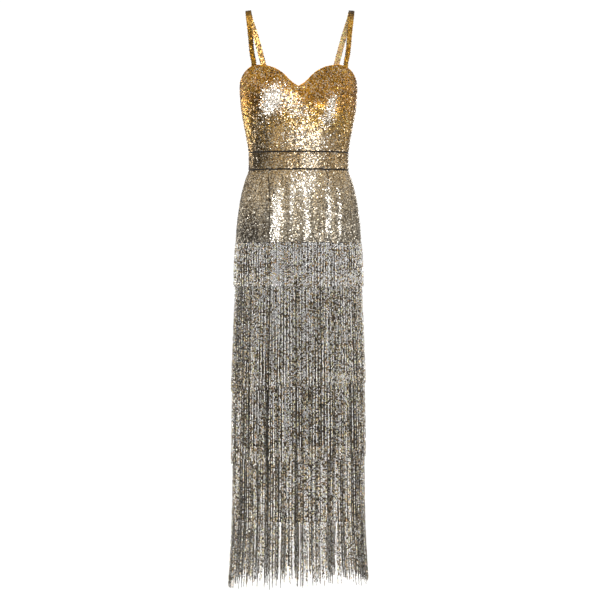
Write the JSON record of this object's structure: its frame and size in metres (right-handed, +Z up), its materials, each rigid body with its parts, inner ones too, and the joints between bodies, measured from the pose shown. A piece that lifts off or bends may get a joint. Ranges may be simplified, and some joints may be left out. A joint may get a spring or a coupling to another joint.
{
  "type": "fringed bustier gown",
  "caption": "Floor-length gown with a strapped sweetheart bodice, a banded waist and a skirt of tiered beaded fringe, filled out as worn.",
  "frame": {"origin": "midway between the crests of the two shoulder straps, where the wearer's shoulders hold the gown", "axes": "+Z up along the body, -Y out of the front, +X towards the wearer's left"},
  "size_m": [0.3621, 0.2679, 1.4987],
  "materials": {
    "gold_sequin_cloth": "sewn with small gold sequins",
    "pale_gold_sequin_cloth": "sewn with small pale gold sequins",
    "smoke_silver_beads": "strung smoke and silver beads",
    "taupe_base_cloth": "plain dull cloth",
    "brass_zip": "polished"
  },
  "bodies": {
    "gown": {"bodice_centre_front": "gold_sequin_cloth", "bodice_side_front_left": "gold_sequin_cloth", "bodice_side_front_right": "gold_sequin_cloth", "bodice_side_back_left": "gold_sequin_cloth", "bodice_side_back_right": "gold_sequin_cloth", "bodice_centre_back_left": "gold_sequin_cloth", "bodice_centre_back_right": "gold_sequin_cloth", "strap_left": "gold_sequin_cloth", "strap_right": "gold_sequin_cloth", "waistband_front": "pale_gold_sequin_cloth", "waistband_back_left": "pale_gold_sequin_cloth", "waistband_back_right": "pale_gold_sequin_cloth", "skirt_centre_front": "pale_gold_sequin_cloth", "skirt_side_front_left": "pale_gold_sequin_cloth", "skirt_side_front_right": "pale_gold_sequin_cloth", "skirt_side_back_left": "pale_gold_sequin_cloth", "skirt_side_back_right": "pale_gold_sequin_cloth", "skirt_centre_back_left": "pale_gold_sequin_cloth", "skirt_centre_back_right": "pale_gold_sequin_cloth", "base_skirt_front": "taupe_base_cloth", "base_skirt_back": "taupe_base_cloth", "fringe_tier_1": "smoke_silver_beads", "fringe_tier_2": "smoke_silver_beads", "fringe_tier_3": "smoke_silver_beads", "fringe_tier_4": "smoke_silver_beads", "zip_slider": "brass_zip"},
    "zip_pull": {"zip_pull_tab": "brass_zip"}
  },
  "joints": [
    {"name": "zip_pull_hinge", "type": "hinge", "parent": "gown", "child": "zip_pull", "pos_m": [0, 0.09918, -0.242], "axis": [1, 0, 0], "range_deg": [-6, 160]}
  ]
}
